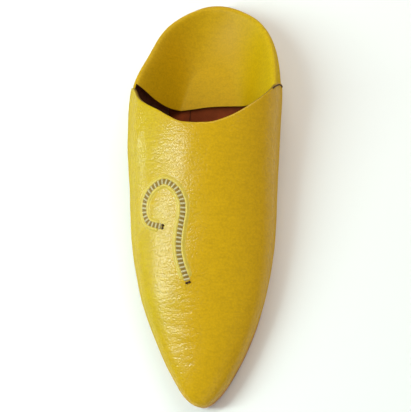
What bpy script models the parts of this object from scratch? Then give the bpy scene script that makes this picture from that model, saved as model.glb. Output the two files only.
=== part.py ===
"""Babouche slipper for the right foot: flat outsole, insole and a hollow upper, heel folded down.

Lengths in metres. +Z is up, the toe points to -Y, +X is the inner side of the foot.
"""
import math

import bmesh
import bpy
import numpy as np
from mathutils import Vector

LENGTH = 0.276
WIDTH = 0.1028
INSTEP_HEIGHT = 0.061
SOLE_THICKNESS = 0.005
TOE_SPRING = 0.004
SPRING_SHARE = 0.17
ARCH_RISE = 0.0015
ARCH_FROM = 0.46
ARCH_TO = 0.72
SOLE_EDGE_ROUND = 0.0006

INSOLE_THICKNESS = 0.002
VAMP_WALL = 0.0018
QUARTER_WALL = 0.0016
SEAM_STEP = 0.0010
GAP = 0.0003

DOME_SHARE = 0.7
SKIRT_TURN = math.radians(60.0)
MARGIN_ANGLE = 113.0
INSOLE_STEP_FROM = 104.0
CORNER_OUTER = 122.0
CORNER_INNER = 115.5
STEP_FADE_FROM = 124.0
STEP_FADE_TO = 150.0
LEAN_FROM = 119.0
LEAN_FULL = 135.0
FAN = 1.15
FOLD_RADIUS = 0.0021

# Plan of the upper at its widest level. Angle 0 is the toe tip and 180 the back of the heel;
# a station lies at -cos(angle) half lengths. Edges are shares of half the width.
PLAN_COLUMNS = ("angle", "outer_edge", "inner_edge")
PLAN = (
    (0.0, 0.05, 0.05),
    (15.0, -0.145, 0.22),
    (30.0, -0.33, 0.415),
    (45.0, -0.55, 0.62),
    (60.0, -0.765, 0.805),
    (75.0, -0.905, 0.915),
    (90.0, -0.96, 0.945),
    (105.0, -1.0, 0.975),
    (120.0, -0.965, 1.005),
    (135.0, -0.78, 0.925),
    (150.0, -0.58, 0.725),
    (165.0, -0.27, 0.40),
    (180.0, 0.05, 0.05),
)

# Heights as shares of the instep height, and how square the arch of the vamp is.
SECTION_COLUMNS = ("angle", "widest_level", "ridge", "squareness")
SECTIONS = (
    (0.0, 0.225, 0.225, 0.80),
    (15.0, 0.225, 0.335, 0.84),
    (30.0, 0.225, 0.415, 0.88),
    (45.0, 0.235, 0.490, 0.90),
    (60.0, 0.26, 0.595, 0.90),
    (75.0, 0.29, 0.725, 0.90),
    (90.0, 0.34, 0.865, 0.88),
    (105.0, 0.42, 1.000, 0.85),
    (120.0, 0.50, 1.070, 0.80),
    (135.0, 0.42, 1.10, 0.80),
    (150.0, 0.33, 1.10, 0.80),
    (165.0, 0.275, 1.10, 0.80),
    (180.0, 0.265, 1.10, 0.80),
)

# How far the feather line and the outsole's edge lie inside the widest outline, in shares of
# half the width.
FOOT_COLUMNS = ("angle", "feather_outer", "feather_inner", "sole_outer", "sole_inner")
FOOT = (
    (0.0, 0.05, 0.05, 0.010, 0.010),
    (30.0, 0.065, 0.075, 0.022, 0.030),
    (60.0, 0.075, 0.095, 0.032, 0.050),
    (75.0, 0.13, 0.16, 0.090, 0.115),
    (90.0, 0.27, 0.27, 0.235, 0.23),
    (105.0, 0.44, 0.42, 0.41, 0.385),
    (120.0, 0.41, 0.42, 0.38, 0.385),
    (135.0, 0.27, 0.29, 0.235, 0.255),
    (150.0, 0.17, 0.18, 0.135, 0.145),
    (165.0, 0.10, 0.105, 0.065, 0.07),
    (180.0, 0.07, 0.07, 0.035, 0.035),
)

# Angle at which the vamp ends, on the outer and on the inner side, against the share of the way
# from the ridge (0) down to the feather line (1).
THROAT_COLUMNS = ("across", "outer_end", "inner_end")
THROAT = (
    (0.0, 105.2, 105.2),
    (0.07, 105.8, 105.4),
    (0.13, 107.4, 106.4),
    (0.2, 109.5, 108.1),
    (0.3, 112.0, 111.3),
    (0.4, 115.1, 114.7),
    (0.44, 117.0, 116.1),
    (0.48, 118.4, 117.6),
    (0.52, 119.2, 119.2),
    (0.57, 119.8, 120.5),
    (0.64, 120.3, 121.2),
    (1.0, 121.5, 122.2),
)

# Crest of the folded heel in shares of the instep height; how far the wall leans in up to it
# and how far the flap's slope reaches inside it, in shares of half the width; how hollow the
# slope is, where 1 is a plane.
FOLD_COLUMNS = ("angle", "crest", "lean_outer", "lean_inner", "reach_outer", "reach_inner",
                "hollow_outer", "hollow_inner")
FOLD = (
    (105.0, 0.70, 0.045, 0.040, 0.54, 0.54, 1.15, 1.5),
    (119.0, 0.70, 0.045, 0.040, 0.52, 0.54, 1.15, 1.5),
    (127.0, 0.665, 0.045, 0.030, 0.49, 0.56, 1.15, 1.6),
    (135.0, 0.60, 0.045, 0.025, 0.45, 0.60, 1.2, 1.8),
    (150.0, 0.475, 0.045, 0.025, 0.40, 0.66, 1.35, 2.0),
    (165.0, 0.405, 0.055, 0.045, 0.52, 0.70, 1.7, 2.0),
    (180.0, 0.385, 0.070, 0.070, 0.70, 0.70, 2.0, 2.0),
)

# Free edge of the flap: its distance behind the middle in shares of half the length, from the
# outer (-1) to the inner corner (1).
EDGE_COLUMNS = ("across", "behind")
EDGE = (
    (-1.0, 0.5165),
    (-0.89, 0.495),
    (-0.79, 0.473),
    (-0.66, 0.459),
    (-0.5, 0.461),
    (-0.3, 0.4675),
    (-0.1, 0.4765),
    (0.14, 0.480),
    (0.6, 0.467),
    (1.0, 0.409),
)

VAMP_COLUMNS_ACROSS = (0.0, 0.035, 0.07, 0.11, 0.16, 0.21, 0.27, 0.33, 0.39, 0.44, 0.485, 0.52,
                       0.55, 0.59, 0.64, 0.7, 0.78, 0.86, 0.93, 1.0)
VAMP_ROWS = 30
QUARTER_COLUMNS = 50
WALL_LEVELS = (0.0, 0.14, 0.28, 0.42, 0.55, 0.65, 0.75, 0.84, 0.89, 0.95, 1.0)
WALL_SPLIT = 0.55
FOLD_SPLIT = 0.84
FLAP_LEVELS = (0.0, 0.016, 0.035, 0.06, 0.10, 0.16, 0.24, 0.34, 0.46, 0.6, 0.8, 1.0)
SOLE_ROWS = 44
SOLE_ACROSS = 7

YELLOW_LEATHER = (0.62, 0.40, 0.012)
SOLE_LEATHER = (0.33, 0.15, 0.035)
INSOLE_LEATHER = (0.12, 0.028, 0.012)


def column(columns, rows, name, angle):
    """Value of a table's column at an angle, by a cubic through the rows."""
    table = np.array(rows)
    x = table[:, 0]
    y = table[:, columns.index(name)]
    slope = np.gradient(y, x)
    a = np.clip(angle, x[0], x[-1])
    i = np.clip(np.searchsorted(x, a, side="right") - 1, 0, len(x) - 2)
    h = x[i + 1] - x[i]
    t = (a - x[i]) / h
    return ((2 * t**3 - 3 * t**2 + 1) * y[i] + (t**3 - 2 * t**2 + t) * h * slope[i]
            + (3 * t**2 - 2 * t**3) * y[i + 1] + (t**3 - t**2) * h * slope[i + 1])


def ground(y):
    """Height of the sole's underside: toe spring and a low arch between two flats."""
    share = y / LENGTH + 0.5
    toe = np.clip(1.0 - share / SPRING_SHARE, 0.0, 1.0)
    arch = np.clip((share - ARCH_FROM) / (ARCH_TO - ARCH_FROM), 0.0, 1.0)
    return TOE_SPRING * toe**2 + ARCH_RISE * np.sin(math.pi * arch) ** 2


def plan_edge(side, angle, inset):
    """Point of the outline on a side (-1 outer, 1 inner), moved inward by an inset."""
    outer = column(PLAN_COLUMNS, PLAN, "outer_edge", angle)
    inner = column(PLAN_COLUMNS, PLAN, "inner_edge", angle)
    x = np.where(side < 0, outer, inner) * WIDTH / 2
    turn = np.radians(angle)
    return x - side * inset * np.sin(turn), (inset - LENGTH / 2) * np.cos(turn)


def foot_inset(side, angle, line):
    """Inset of the feather line or of the sole's edge on a side."""
    outer = column(FOOT_COLUMNS, FOOT, line + "_outer", angle)
    inner = column(FOOT_COLUMNS, FOOT, line + "_inner", angle)
    return np.where(side < 0, outer, inner) * WIDTH / 2


def feather_level(y):
    """Height at which the upper and the insole begin, just over the outsole."""
    return ground(y) + SOLE_THICKNESS + GAP


def skirt(side, angle, share, inset):
    """Wall below the widest level; share runs from 0 there to 1 at the feather line."""
    level = column(SECTION_COLUMNS, SECTIONS, "widest_level", angle) * INSTEP_HEIGHT
    turn = share * SKIRT_TURN
    inward = (1.0 - np.cos(turn)) / (1.0 - math.cos(SKIRT_TURN))
    drop = np.sin(turn) / math.sin(SKIRT_TURN)
    x, y = plan_edge(side, angle, inset + foot_inset(side, angle, "feather") * inward)
    return x, y, level + (feather_level(y) - level) * drop


def vamp_point(across, angle):
    """Outer face of the vamp: an arch over the foot above the widest level, the skirt below."""
    side = np.where(across < 0, -1.0, 1.0)
    share = np.abs(across)
    level = column(SECTION_COLUMNS, SECTIONS, "widest_level", angle) * INSTEP_HEIGHT
    ridge = column(SECTION_COLUMNS, SECTIONS, "ridge", angle) * INSTEP_HEIGHT
    power = column(SECTION_COLUMNS, SECTIONS, "squareness", angle)
    edge, y = plan_edge(side, angle, 0.0)
    outer, _ = plan_edge(-np.ones_like(angle), angle, 0.0)
    inner, _ = plan_edge(np.ones_like(angle), angle, 0.0)
    middle = (outer + inner) / 2
    turn = np.clip(share / DOME_SHARE, 0.0, 1.0) * math.pi / 2
    x = middle + (edge - middle) * np.sin(turn) ** power
    z = level + (ridge - level) * np.clip(np.cos(turn), 0.0, 1.0)
    low = np.clip((share - DOME_SHARE) / (1.0 - DOME_SHARE), 0.0, 1.0)
    low_x, low_y, low_z = skirt(side, angle, low, 0.0)
    below = share > DOME_SHARE
    return np.stack([np.where(below, low_x, x), np.where(below, low_y, y),
                     np.where(below, low_z, z)], axis=-1)


def seam_step(angle):
    """How far the quarter lies inside the vamp's face; nothing at the back of the heel."""
    share = np.clip((STEP_FADE_TO - angle) / (STEP_FADE_TO - STEP_FADE_FROM), 0.0, 1.0)
    return SEAM_STEP * share**2 * (3.0 - 2.0 * share)


def dome_inset(angle, height):
    """How far inside the widest outline the vamp's face lies at a height."""
    level = column(SECTION_COLUMNS, SECTIONS, "widest_level", angle) * INSTEP_HEIGHT
    ridge = column(SECTION_COLUMNS, SECTIONS, "ridge", angle) * INSTEP_HEIGHT
    power = column(SECTION_COLUMNS, SECTIONS, "squareness", angle)
    outer, _ = plan_edge(-np.ones_like(angle), angle, 0.0)
    inner, _ = plan_edge(np.ones_like(angle), angle, 0.0)
    rise = np.clip((height - level) / (ridge - level), 0.0, 1.0)
    return (inner - outer) / 2 * (1.0 - (1.0 - rise**2) ** (power / 2))


def fold_lean(side, angle, rise):
    """How far the quarter's wall leans in on the way from its widest level (0) to the fold (1):
    it follows the vamp's face beneath it and has its own lean further back."""
    outer = column(FOLD_COLUMNS, FOLD, "lean_outer", angle)
    inner = column(FOLD_COLUMNS, FOLD, "lean_inner", angle)
    own = np.where(side < 0, outer, inner) * WIDTH / 2 * (1.0 - np.cos(math.pi * rise)) / 2
    level = column(SECTION_COLUMNS, SECTIONS, "widest_level", angle) * INSTEP_HEIGHT
    top = column(FOLD_COLUMNS, FOLD, "crest", angle) * INSTEP_HEIGHT - FOLD_RADIUS
    under = dome_inset(angle, level + (top - level) * rise)
    share = np.clip((angle - LEAN_FROM) / (LEAN_FULL - LEAN_FROM), 0.0, 1.0)
    return under + (own - under) * share**2 * (3.0 - 2.0 * share)


def crest_point(side, angle):
    """Top of the fold round the heel."""
    height = column(FOLD_COLUMNS, FOLD, "crest", angle) * INSTEP_HEIGHT
    inset = seam_step(angle) + fold_lean(side, angle, 1.0) + FOLD_RADIUS
    x, y = plan_edge(side, angle, inset)
    return x, y, height


def quarter_wall(side, angle, share, depth):
    """The quarter from the feather line (0) to the crest of the fold (1), at a depth in the
    leather: the skirt up to the widest level, the leaning wall, a quarter circle on top."""
    low = np.clip(1.0 - share / WALL_SPLIT, 0.0, 1.0)
    low_x, low_y, low_z = skirt(side, angle, low, seam_step(angle) + depth)
    rise = np.clip((share - WALL_SPLIT) / (FOLD_SPLIT - WALL_SPLIT), 0.0, 1.0)
    turn = np.clip((share - FOLD_SPLIT) / (1.0 - FOLD_SPLIT), 0.0, 1.0) * math.pi / 2
    level = column(SECTION_COLUMNS, SECTIONS, "widest_level", angle) * INSTEP_HEIGHT
    height = column(FOLD_COLUMNS, FOLD, "crest", angle) * INSTEP_HEIGHT
    inset = seam_step(angle) + depth + fold_lean(side, angle, rise)
    x, y = plan_edge(side, angle, inset + (FOLD_RADIUS - depth) * (1.0 - np.cos(turn)))
    z = level + (height - FOLD_RADIUS - level) * rise + (FOLD_RADIUS - depth) * np.sin(turn)
    below = share < WALL_SPLIT
    return np.stack([np.where(below, low_x, x), np.where(below, low_y, y),
                     np.where(below, low_z, z)], axis=-1)


def flap_floor():
    """Upper face of the flap where it lies on the insole."""
    return SOLE_THICKNESS + INSOLE_THICKNESS + 3 * GAP + QUARTER_WALL


def flap_height(x, y):
    """Height of the flap. Every point of the crest counts by the inverse fourth power of its
    distance; the sum gives a distance that is true beside a straight crest and smooth in the
    bowl, and the same weights give the crest's height, the slope's reach and its hollow."""
    fine = np.linspace(MARGIN_ANGLE, 180.0, 260)
    rim = [crest_point(side * np.ones_like(fine), fine) for side in (-1.0, 1.0)]
    piece = [np.hypot(np.gradient(r[0]), np.gradient(r[1])) for r in rim]
    rim_x, rim_y, rim_z = (np.concatenate([r[k] for r in rim]) for k in range(3))
    away = np.hypot(x[..., None] - rim_x, y[..., None] - rim_y)
    weight = np.concatenate(piece) / np.maximum(away, 0.00005) ** 4
    total = np.sum(weight, axis=-1)
    distance = (2.0 * total / math.pi) ** (-1.0 / 3.0)

    def blend(name):
        sides = [column(FOLD_COLUMNS, FOLD, name + "_" + s, fine) for s in ("outer", "inner")]
        return np.sum(weight * np.concatenate(sides), axis=-1) / total

    drop = np.sum(weight * rim_z, axis=-1) / total - flap_floor()
    reach = blend("reach") * WIDTH / 2
    hollow = blend("hollow")
    soft = FOLD_RADIUS * hollow * drop / reach
    share = (np.hypot(distance, soft) - soft) / (np.hypot(reach, soft) - soft)
    return flap_floor() + drop * np.clip(1.0 - share, 0.0, 1.0) ** hollow


def flap_underside(x, y, z):
    """Height of the flap's lower face: the leather's thickness, taken square to the slope."""
    step = SEAM_STEP / 4
    slope_x = (flap_height(x + step, y) - flap_height(x - step, y)) / (2 * step)
    slope_y = (flap_height(x, y + step) - flap_height(x, y - step)) / (2 * step)
    return z - QUARTER_WALL * np.sqrt(1.0 + slope_x**2 + slope_y**2)


def grid_mesh(name, points):
    """Open mesh of a grid of points, rows by columns."""
    rows, cols = points.shape[:2]
    index = np.arange(rows * cols).reshape(rows, cols)
    quads = np.stack([index[:-1, :-1], index[:-1, 1:], index[1:, 1:], index[1:, :-1]], axis=-1)
    mesh = bpy.data.meshes.new(name)
    mesh.from_pydata(points.reshape(-1, 3).tolist(), [], quads.reshape(-1, 4).tolist())
    return mesh


def join_grids(mesh, *grids):
    """Add grids of points to a mesh."""
    work = bmesh.new()
    work.from_mesh(mesh)
    for points in grids:
        part = grid_mesh("part", points)
        work.from_mesh(part)
        bpy.data.meshes.remove(part)
    work.to_mesh(mesh)
    work.free()


def add_piece(name, mesh, where, material):
    piece = bpy.data.objects.new(name, mesh)
    piece.data.materials.clear()
    piece.data.materials.append(material)
    where.objects.link(piece)
    return piece


def weld(mesh, closed):
    """Weld points that coincide and drop empty faces; a closed mesh is turned outward."""
    work = bmesh.new()
    work.from_mesh(mesh)
    bmesh.ops.remove_doubles(work, verts=work.verts[:], dist=0.00002)
    bmesh.ops.dissolve_degenerate(work, edges=work.edges[:], dist=0.00001)
    if closed:
        bmesh.ops.recalc_face_normals(work, faces=work.faces[:])
    work.to_mesh(mesh)
    work.free()
    for face in mesh.polygons:
        face.use_smooth = True


def shell(piece, thickness):
    """Give a sheet the thickness of its leather, inward from the outer face."""
    wall = piece.modifiers.new("leather", "SOLIDIFY")
    wall.thickness = thickness
    wall.offset = -1.0
    wall.use_even_offset = False
    wall.use_quality_normals = True
    wall.use_rim = True


def face_away(piece, inside):
    """Turn a sheet's faces so that they look away from a point inside it, on the whole."""
    total = 0.0
    for face in piece.data.polygons:
        total += (face.center - inside).dot(face.normal) * face.area
    if total < 0.0:
        piece.data.flip_normals()


def make_vamp(where, material):
    across = np.array(VAMP_COLUMNS_ACROSS)
    across = np.concatenate([-across[:0:-1], across])
    outer = column(THROAT_COLUMNS, THROAT, "outer_end", np.abs(across))
    inner = column(THROAT_COLUMNS, THROAT, "inner_end", np.abs(across))
    end = np.where(across < 0, outer, inner)
    along = np.linspace(0.0, 1.0, VAMP_ROWS + 1)
    angle = along[:, None] * end[None, :]
    points = vamp_point(np.broadcast_to(across, angle.shape), angle)
    mesh = grid_mesh("vamp", points)
    weld(mesh, False)
    piece = add_piece("vamp", mesh, where, material)
    face_away(piece, Vector((0.0, 0.0, INSTEP_HEIGHT / 3)))
    shell(piece, VAMP_WALL)
    return piece


def quarter_grids():
    """Faces of the quarter: wall and flap outside, the same inside, and the cut edges."""
    turn = np.linspace(-1.0, 1.0, QUARTER_COLUMNS + 1)
    side = np.where(turn < 0, -1.0, 1.0)
    angle = 180.0 - np.abs(turn) * (180.0 - np.where(side < 0, MARGIN_ANGLE, CORNER_INNER))
    levels = np.array(WALL_LEVELS)
    shape = (len(levels), len(turn))
    wall, lining = (quarter_wall(np.broadcast_to(side, shape), np.broadcast_to(angle, shape),
                                 np.broadcast_to(levels[:, None], shape), depth)
                    for depth in (0.0, QUARTER_WALL))
    folded = angle >= np.where(side < 0, CORNER_OUTER, CORNER_INNER)
    crest = wall[-1][folded]
    corner = np.where(side < 0, crest[0, 0], crest[-1, 0])[folded]
    first = np.where(side < 0, angle[folded][0], CORNER_INNER)[folded]
    reach = 1.0 - (1.0 - (180.0 - angle[folded]) / (180.0 - first)) ** FAN
    middle = column(PLAN_COLUMNS, PLAN, "inner_edge", 180.0) * WIDTH / 2
    edge_x = middle + (corner - middle) * reach
    edge_y = column(EDGE_COLUMNS, EDGE, "behind", side[folded] * reach) * LENGTH / 2
    edge_y = np.minimum(edge_y, crest[:, 1])
    share = np.array(FLAP_LEVELS)[:, None]
    x = crest[:, 0] + (edge_x - crest[:, 0]) * share
    y = crest[:, 1] + (edge_y - crest[:, 1]) * share
    z = flap_height(x, y)
    z[0] = crest[:, 2]
    below = flap_underside(x, y, z)
    below[0] = lining[-1][folded][:, 2]
    for end in (0, -1):
        y[:, end] = crest[end, 1]
        z[:, end] = z[0, end]
        below[:, end] = below[0, end]
    flap = np.stack([x, y, z], axis=-1)
    under = np.stack([x, y, below], axis=-1)
    start = int(np.argmax(folded)) + 1
    edges = [np.stack([wall[0], lining[0]]), np.stack([wall[:, 0], lining[:, 0]]),
             np.stack([wall[:, -1], lining[:, -1]]), np.stack([flap[-1], under[-1]]),
             np.stack([wall[-1, :start], lining[-1, :start]])]
    return [wall, lining, flap, under] + edges


def make_quarter(where, material):
    """Wall round the heel and the flap folded inward, one piece of leather."""
    grids = quarter_grids()
    mesh = grid_mesh("quarter", grids[0])
    join_grids(mesh, *grids[1:])
    weld(mesh, True)
    return add_piece("quarter", mesh, where, material)


def make_upper(where, cutters, material):
    """Vamp and quarter joined by their side seams."""
    vamp = make_vamp(where, material)
    quarter = make_quarter(cutters, material)
    quarter.hide_render = True
    quarter.display_type = "WIRE"
    join = vamp.modifiers.new("side seams", "BOOLEAN")
    join.operation = "UNION"
    join.solver = "EXACT"
    join.object = quarter
    vamp.name = "upper"
    vamp.data.name = "upper"
    return vamp


def slab_mesh(name, edge, bottom, thickness, rounding):
    """Closed layer with a plan outline and rounded edges; edge gives the outline at an inset."""
    angle = np.linspace(0.0, 180.0, SOLE_ROWS + 1)
    across = np.linspace(0.0, 1.0, SOLE_ACROSS + 1)
    rings = ((rounding, 0.0), (0.0, rounding), (0.0, thickness - rounding), (rounding, thickness))
    sheets = []
    for inset, height in rings:
        outer_x, y = edge(-1.0, angle, inset)
        inner_x, _ = edge(1.0, angle, inset)
        x = outer_x[:, None] + (inner_x - outer_x)[:, None] * across
        y = np.broadcast_to(y[:, None], x.shape)
        sheets.append(np.stack([x, y, bottom(y) + height], axis=-1))
    loops = [np.concatenate([sheet[:, 0], sheet[::-1, -1]]) for sheet in sheets]
    mesh = grid_mesh(name, np.stack(loops))
    join_grids(mesh, sheets[0], sheets[-1])
    weld(mesh, True)
    return mesh


def make_outsole(where, material):
    def edge(side, angle, inset):
        side = side * np.ones_like(angle)
        return plan_edge(side, angle, foot_inset(side, angle, "sole") + inset)

    mesh = slab_mesh("outsole", edge, ground, SOLE_THICKNESS, SOLE_EDGE_ROUND)
    return add_piece("outsole", mesh, where, material)


def make_insole(where, material):
    """Thin layer inside the upper's wall."""
    def edge(side, angle, inset):
        side = side * np.ones_like(angle)
        lap = np.clip((angle - INSOLE_STEP_FROM) / (MARGIN_ANGLE - INSOLE_STEP_FROM), 0.0, 1.0)
        wall = VAMP_WALL + GAP + lap * seam_step(angle)
        return plan_edge(side, angle, foot_inset(side, angle, "feather") + wall + inset)

    mesh = slab_mesh("insole", edge, feather_level, INSOLE_THICKNESS, SOLE_EDGE_ROUND)
    return add_piece("insole", mesh, where, material)


def make_material(name, colour, roughness):
    """Plain leather; the colour is linear."""
    material = bpy.data.materials.new(name)
    material.use_nodes = True
    shader = material.node_tree.nodes["Principled BSDF"]
    shader.inputs["Base Color"].default_value = (*colour, 1.0)
    shader.inputs["Roughness"].default_value = roughness
    shader.inputs["Metallic"].default_value = 0.0
    return material


def main():
    for thing in list(bpy.data.objects):
        bpy.data.objects.remove(thing, do_unlink=True)
    slipper = bpy.data.collections.new("babouche_slipper")
    cutters = bpy.data.collections.new("cutters")
    bpy.context.scene.collection.children.link(slipper)
    bpy.context.scene.collection.children.link(cutters)
    yellow = make_material("yellow_goat_leather", YELLOW_LEATHER, 0.42)
    tan = make_material("sole_leather", SOLE_LEATHER, 0.55)
    brown = make_material("insole_leather", INSOLE_LEATHER, 0.6)
    make_outsole(slipper, tan)
    make_insole(slipper, brown)
    make_upper(slipper, cutters, yellow)


main()
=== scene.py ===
"""Looks of the right babouche slipper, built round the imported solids, and its pale studio.

Lengths are in metres. +Z is up, the toe points to -Y, +X is the inner side of the foot.
"""

import math

import bmesh
import bpy
import numpy as np
from bpy.props import FloatProperty, FloatVectorProperty, PointerProperty
from mathutils import Matrix, Vector


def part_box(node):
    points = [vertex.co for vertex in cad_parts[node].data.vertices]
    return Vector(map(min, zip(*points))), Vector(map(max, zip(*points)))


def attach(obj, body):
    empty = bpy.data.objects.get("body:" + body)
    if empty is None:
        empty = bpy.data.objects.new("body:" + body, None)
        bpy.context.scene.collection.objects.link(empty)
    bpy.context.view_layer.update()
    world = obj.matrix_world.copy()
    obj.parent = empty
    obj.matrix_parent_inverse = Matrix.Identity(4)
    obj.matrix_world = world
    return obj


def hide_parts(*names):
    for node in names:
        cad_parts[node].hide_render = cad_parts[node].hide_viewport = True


bl_info = {
    "name": "Babouche slipper",
    "version": (1, 0, 0),
    "blender": (4, 5, 0),
    "location": "3D View > Sidebar > Slipper",
    "description": "Leather slipper with a folded heel, its sewing and a plain studio",
    "category": "Add Mesh",
}

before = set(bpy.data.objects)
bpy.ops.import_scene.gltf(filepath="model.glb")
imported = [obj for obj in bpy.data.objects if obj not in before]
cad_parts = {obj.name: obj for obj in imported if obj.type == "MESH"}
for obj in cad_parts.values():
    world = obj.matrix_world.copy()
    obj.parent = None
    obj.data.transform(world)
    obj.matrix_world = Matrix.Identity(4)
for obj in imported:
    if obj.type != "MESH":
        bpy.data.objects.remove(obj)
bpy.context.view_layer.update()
upper_low, upper_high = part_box("upper")
MILLIMETRE = 0.001

# The slipper and its layers. The toe's spring and the waist's arch are rises of the sole, and
# reach over shares of the length, counted from the toe.
LENGTH = round(upper_high[1] - upper_low[1], 4)
WIDTH = 0.1028
INSTEP_HEIGHT = 0.061
SOLE_THICKNESS = 0.005
TOE_SPRING = 0.004
SPRING_SHARE = 0.17
ARCH_RISE = 0.0015
ARCH_FROM = 0.46
ARCH_TO = 0.72
INSOLE_THICKNESS = 0.002
VAMP_WALL = 0.0018
QUARTER_WALL = 0.0016
SEAM_STEP = 0.0010
GAP = 0.0003
OUTSOLE_ROUNDING = 0.0008
INSOLE_ROUNDING = 0.0006
# Distance from the middle of the insole's line of painted shade, which stands for a shaded fold.
INSOLE_SHADE_LINE_X = -0.0135

# The vamp: the share of its half breadth that is arch, the arc of the skirt under it, and the
# height of its slow waves.
DOME_SHARE = 0.7
SKIRT_TURN = math.radians(60.0)
UNEVENNESS = 0.00006

# Stations round the side seams and the heel, as angles of the plan.
MARGIN_ANGLE = 113.0
INSOLE_STEP_FROM = 104.0
CORNER_OUTER = 122.0
CORNER_INNER = 115.5
STEP_FADE_FROM = 124.0
STEP_FADE_TO = 150.0
LEAN_FROM = 119.0
LEAN_FULL = 135.0

# The folded heel: how its lines fan out, its fold's radius, and the shares of its wall where
# the lean and the fold begin.
FAN = 1.15
FOLD_RADIUS = 0.0021
WALL_SPLIT = 0.55
FOLD_SPLIT = 0.84

# The scroll's band: leather beside the stitches, depth of the bed and its share of the width,
# and how far its sides and its ends sink into the vamp.
BAND_BORDER = 0.0021
BAND_BED = 0.00016
BAND_BED_SHARE = 0.30
BAND_SIDE_SINK = 0.00003
BAND_END_SINK = 0.00035

# The threads: the cord's and the stitches' shares of the band's width, the slant of a stitch,
# and how far the middle of each kind of thread stands up.
CORD_HALF_HEIGHT = 0.00045
CORD_SHARE = 0.42
CORD_RISE = 0.0001
STITCH_SHARE = 0.46
STITCH_SLANT = 0.10
STITCH_RISE = 0.00028
KNOT_SPREAD = 0.0007
KNOT_RISE = 0.0006
TACK_RISE = 0.0002
SOLE_LINE_INSET = 0.0011
SOLE_LINE_END = 92.0
SOLE_STITCH_RISE = 0.0003

# Points of each surface's grid: the vamp's across and along, the quarter's round, up and over
# the flap, and a layer's along and across.
VAMP_GRID = (171, 200)
QUARTER_GRID = (231, 40, 60)
LAYER_GRID = (150, 12)

# Painted light and shade: where the colour turns from the first, lit lemon to the second, shaded
# deeper yellow, in distances to the inner side.
VAMP_PAINTED_LIGHT_TURN = (-0.042, 0.014)
# On the folded heel, lemon is painted light on its lit inner wing, and the deeper yellow is
# painted shade in its bowl.
HEEL_PAINTED_LIGHT_TURN = (0.044, 0.004)

# Patterns of the goat leather in repeats a metre: dye patches about 38 mm wide, pores about
# 1.1 mm apart, and wrinkles about 6 mm long across the foot and 2 mm wide, a little turned.
DYE_PATCHES = 26.0
PORES = 900.0
WRINKLES = (160.0, 520.0, 240.0)
WRINKLE_TURN = 0.25

# Finish of the goat leather: how much painted shade darkens the pebbles' hollows and the
# wrinkles, the glaze's roughness from pore to pore and what pressing adds to it, its gloss,
# and how strongly pebbles, wrinkles and pores stand out.
HOLLOW_PAINTED_SHADE = 0.24
WRINKLE_PAINTED_SHADE = 0.20
GLAZE_ROUGHNESS = (0.19, 0.26)
PRESSED_ROUGHNESS = 0.33
LEATHER_IOR = 1.42
LEATHER_GLOSS = 0.40
PEBBLE_BUMP = 0.24
WRINKLE_BUMP = 0.22
PORE_BUMP = 0.10

# Plan at the widest level, in shares of half the width; angle 0 is the toe tip, 180 the heel.
PLAN_COLUMNS = ("angle", "outer_edge", "inner_edge")
PLAN = (
    (0.0, 0.05, 0.05),
    (15.0, -0.145, 0.22),
    (30.0, -0.33, 0.415),
    (45.0, -0.55, 0.62),
    (60.0, -0.765, 0.805),
    (75.0, -0.905, 0.915),
    (90.0, -0.96, 0.945),
    (105.0, -1.0, 0.975),
    (120.0, -0.965, 1.005),
    (135.0, -0.78, 0.925),
    (150.0, -0.58, 0.725),
    (165.0, -0.27, 0.40),
    (180.0, 0.05, 0.05),
)

# Heights in shares of the instep height, and how square the arch of the vamp is.
SECTION_COLUMNS = ("angle", "widest_level", "ridge", "squareness")
SECTIONS = (
    (0.0, 0.225, 0.225, 0.80),
    (15.0, 0.225, 0.335, 0.84),
    (30.0, 0.225, 0.415, 0.88),
    (45.0, 0.235, 0.490, 0.90),
    (60.0, 0.26, 0.595, 0.90),
    (75.0, 0.29, 0.725, 0.90),
    (90.0, 0.34, 0.865, 0.88),
    (105.0, 0.42, 1.000, 0.85),
    (120.0, 0.50, 1.070, 0.80),
    (135.0, 0.42, 1.10, 0.80),
    (150.0, 0.33, 1.10, 0.80),
    (165.0, 0.275, 1.10, 0.80),
    (180.0, 0.265, 1.10, 0.80),
)

# Feather line and sole edge inside the widest outline, in shares of half the width.
FOOT_COLUMNS = ("angle", "feather_outer", "feather_inner", "sole_outer", "sole_inner")
FOOT = (
    (0.0, 0.05, 0.05, 0.010, 0.010),
    (30.0, 0.065, 0.075, 0.022, 0.030),
    (60.0, 0.075, 0.095, 0.032, 0.050),
    (75.0, 0.13, 0.16, 0.090, 0.115),
    (90.0, 0.27, 0.27, 0.235, 0.23),
    (105.0, 0.44, 0.42, 0.41, 0.385),
    (120.0, 0.41, 0.42, 0.38, 0.385),
    (135.0, 0.27, 0.29, 0.235, 0.255),
    (150.0, 0.17, 0.18, 0.135, 0.145),
    (165.0, 0.10, 0.105, 0.065, 0.07),
    (180.0, 0.07, 0.07, 0.035, 0.035),
)

# End of the vamp, as an angle, from the ridge (0) down to the feather line (1).
THROAT_COLUMNS = ("across", "outer_end", "inner_end")
THROAT = (
    (0.0, 105.2, 105.2),
    (0.07, 105.8, 105.4),
    (0.13, 107.4, 106.4),
    (0.2, 109.5, 108.1),
    (0.3, 112.0, 111.3),
    (0.4, 115.1, 114.7),
    (0.44, 117.0, 116.1),
    (0.48, 118.4, 117.6),
    (0.52, 119.2, 119.2),
    (0.57, 119.8, 120.5),
    (0.64, 120.3, 121.2),
    (1.0, 121.5, 122.2),
)

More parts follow.
